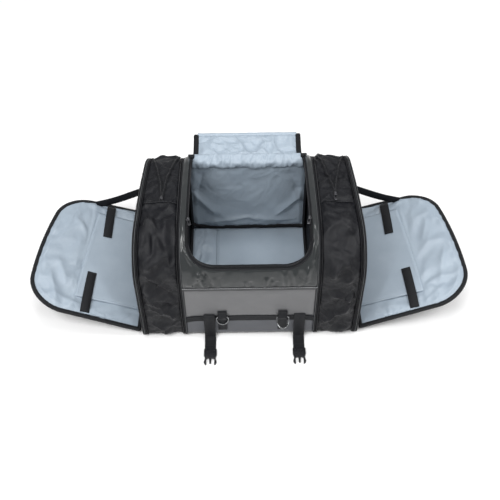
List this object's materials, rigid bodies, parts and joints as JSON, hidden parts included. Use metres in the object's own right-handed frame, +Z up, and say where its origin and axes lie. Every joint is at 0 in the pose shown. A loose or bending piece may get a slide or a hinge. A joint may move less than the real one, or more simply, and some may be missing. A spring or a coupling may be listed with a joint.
{
  "type": "motorcycle tail bag",
  "caption": "Soft motorcycle tail bag with a zipped top lid, two expanding side compartments with fold-down doors, tie-down straps and D-rings.",
  "frame": {"origin": "middle of the base, on the surface the bag stands on", "axes": "+X across the bag to the right side compartment, -Y towards the front with the tie-down straps, +Z up"},
  "size_m": [0.974, 0.6204, 0.2838],
  "materials": {
    "base_nylon": "coated nylon, matt",
    "stiffener": "plastic sheet, hidden inside",
    "tarpaulin": "glossy PVC-coated tarpaulin, creased",
    "lower_tarpaulin": "coated fabric, half gloss",
    "lining": "thin light blue-grey polyester lining",
    "black_nylon": "woven black nylon",
    "edge_binding": "folded black tape with grey piping",
    "webbing": "black woven webbing",
    "zip_tape": "black zip tape with coil",
    "zip_slider": "plated die-cast",
    "ring_steel": "plated wire",
    "buckle_plastic": "moulded acetal"
  },
  "bodies": {
    "root": {"base_panel": "base_nylon", "base_board": "stiffener", "floor_lining": "lining", "lower_front_panel": "lower_tarpaulin", "front_panel": "tarpaulin", "top_yoke": "tarpaulin", "rear_panel": "tarpaulin", "front_lining": "lining", "rear_lining": "lining", "front_webbing": "webbing", "rear_webbing": "webbing", "opening_zip_tape": "zip_tape", "left_seam_ring": "edge_binding", "left_divider": "black_nylon", "left_gusset": "black_nylon", "left_expansion_zip": "zip_tape", "right_seam_ring": "edge_binding", "right_divider": "black_nylon", "right_gusset": "black_nylon", "right_expansion_zip": "zip_tape", "front_left_ring_loop": "webbing", "front_right_ring_loop": "webbing", "rear_left_ring_loop": "webbing", "rear_right_ring_loop": "webbing"},
    "lid_strip": {"lid_hinge_strip": "tarpaulin"},
    "lid_flap": {"lid_panel": "tarpaulin", "lid_lining": "lining", "lid_zip_tape": "zip_tape"},
    "left_side_frame": {"left_frame": "edge_binding"},
    "left_expansion_pull": {"left_expansion_slider": "zip_slider"},
    "left_door": {"left_door_binding": "edge_binding", "left_door_shell": "black_nylon", "left_door_board": "stiffener", "left_door_lining": "lining", "left_door_pocket": "lining", "left_door_rear_strap": "webbing", "left_door_front_strap": "webbing", "left_check_strap": "webbing"},
    "left_door_pull": {"left_door_slider": "zip_slider"},
    "left_lid_pull": {"left_lid_slider": "zip_slider"},
    "right_side_frame": {"right_frame": "edge_binding"},
    "right_expansion_pull": {"right_expansion_slider": "zip_slider"},
    "right_door": {"right_door_binding": "edge_binding", "right_door_shell": "black_nylon", "right_door_board": "stiffener", "right_door_lining": "lining", "right_door_pocket": "lining", "right_door_rear_strap": "webbing", "right_door_front_strap": "webbing", "right_check_strap": "webbing"},
    "right_door_pull": {"right_door_slider": "zip_slider"},
    "right_lid_pull": {"right_lid_slider": "zip_slider"},
    "front_left_ring": {"front_left_d_ring": "ring_steel"},
    "front_right_ring": {"front_right_d_ring": "ring_steel"},
    "rear_left_ring": {"rear_left_d_ring": "ring_steel"},
    "rear_right_ring": {"rear_right_d_ring": "ring_steel"},
    "left_strap": {"left_tie_strap": "webbing"},
    "left_buckle": {"left_buckle_plug": "buckle_plastic"},
    "right_strap": {"right_tie_strap": "webbing"},
    "right_buckle": {"right_buckle_plug": "buckle_plastic"}
  },
  "joints": [
    {"name": "lid_hinge", "type": "hinge", "parent": "root", "child": "lid_strip", "pos_m": [0, 0.15002, 0.22694], "axis": [1, 0, 0], "range_deg": [0, 153]},
    {"name": "lid_fold", "type": "hinge", "parent": "lid_strip", "child": "lid_flap", "pos_m": [0, 0.22787, 0.22834], "axis": [1, 0, 0], "range_deg": [0, 90.5]},
    {"name": "left_expansion", "type": "slide", "parent": "root", "child": "left_side_frame", "axis": [1, 0, 0], "range_m": [0, 0.06], "deforming": ["left_gusset", "left_expansion_zip"]},
    {"name": "left_expansion_slider_shift", "type": "slide", "parent": "root", "child": "left_expansion_pull", "axis": [1, 0, 0], "range_m": [0, 0.0275]},
    {"name": "left_door_hinge", "type": "hinge", "parent": "left_side_frame", "child": "left_door", "pos_m": [-0.23662, 0, 0.01], "axis": [0.041, 0.9992, 0], "range_deg": [0, 70], "deforming": ["left_check_strap"]},
    {"name": "left_door_slider_run", "type": "slide", "parent": "left_side_frame", "child": "left_door_pull", "axis": [0, -0.0423, 0.9991], "range_m": [0, 0.1]},
    {"name": "left_lid_slider_run", "type": "hinge", "parent": "root", "child": "left_lid_pull", "pos_m": [-0.12685, -0.09101, -0.57029], "axis": [-1, 0, 0], "range_deg": [0, 12]},
    {"name": "right_expansion", "type": "slide", "parent": "root", "child": "right_side_frame", "axis": [-1, 0, 0], "range_m": [0, 0.06], "deforming": ["right_gusset", "right_expansion_zip"]},
    {"name": "right_expansion_slider_shift", "type": "slide", "parent": "root", "child": "right_expansion_pull", "axis": [-1, 0, 0], "range_m": [0, 0.0275]},
    {"name": "right_door_hinge", "type": "hinge", "parent": "right_side_frame", "child": "right_door", "pos_m": [0.23662, 0, 0.01], "axis": [0.041, -0.9992, 0], "range_deg": [0, 70], "deforming": ["right_check_strap"]},
    {"name": "right_door_slider_run", "type": "slide", "parent": "right_side_frame", "child": "right_door_pull", "axis": [0, -0.0423, 0.9991], "range_m": [0, 0.1]},
    {"name": "right_lid_slider_run", "type": "hinge", "parent": "root", "child": "right_lid_pull", "pos_m": [0.12685, -0.09101, -0.57029], "axis": [-1, 0, 0], "range_deg": [0, 12]},
    {"name": "front_left_ring_swing", "type": "hinge", "parent": "root", "child": "front_left_ring", "pos_m": [-0.06, -0.18336, 0.078], "axis": [-1, 0, 0], "range_deg": [0, 165]},
    {"name": "front_right_ring_swing", "type": "hinge", "parent": "root", "child": "front_right_ring", "pos_m": [0.071, -0.18336, 0.078], "axis": [-1, 0, 0], "range_deg": [-75, 90]},
    {"name": "rear_left_ring_swing", "type": "hinge", "parent": "root", "child": "rear_left_ring", "pos_m": [-0.064, 0.18292, 0.078], "axis": [1, 0, 0], "range_deg": [0, 165]},
    {"name": "rear_right_ring_swing", "type": "hinge", "parent": "root", "child": "rear_right_ring", "pos_m": [0.064, 0.18292, 0.078], "axis": [1, 0, 0], "range_deg": [0, 165]},
    {"name": "left_strap_lift", "type": "hinge", "parent": "root", "child": "left_strap", "pos_m": [-0.0885, -0.18034, 0.084], "axis": [-1, 0, 0], "range_deg": [0, 100]},
    {"name": "left_buckle_tilt", "type": "hinge", "parent": "left_strap", "child": "left_buckle", "pos_m": [-0.0885, -0.2228, 0.0012], "axis": [-1, 0, 0], "range_deg": [0, 60]},
    {"name": "right_strap_lift", "type": "hinge", "parent": "root", "child": "right_strap", "pos_m": [0.108, -0.18034, 0.084], "axis": [-1, 0, 0], "range_deg": [0, 100]},
    {"name": "right_buckle_tilt", "type": "hinge", "parent": "right_strap", "child": "right_buckle", "pos_m": [0.108, -0.2228, 0.0012], "axis": [-1, 0, 0], "range_deg": [0, 60]}
  ],
  "couplings": [
    {"joint": "lid_fold", "follows": "lid_hinge", "ratio": 0.58823},
    {"joint": "left_expansion_slider_shift", "follows": "left_expansion", "ratio": 0.45},
    {"joint": "right_expansion_slider_shift", "follows": "right_expansion", "ratio": 0.45}
  ]
}
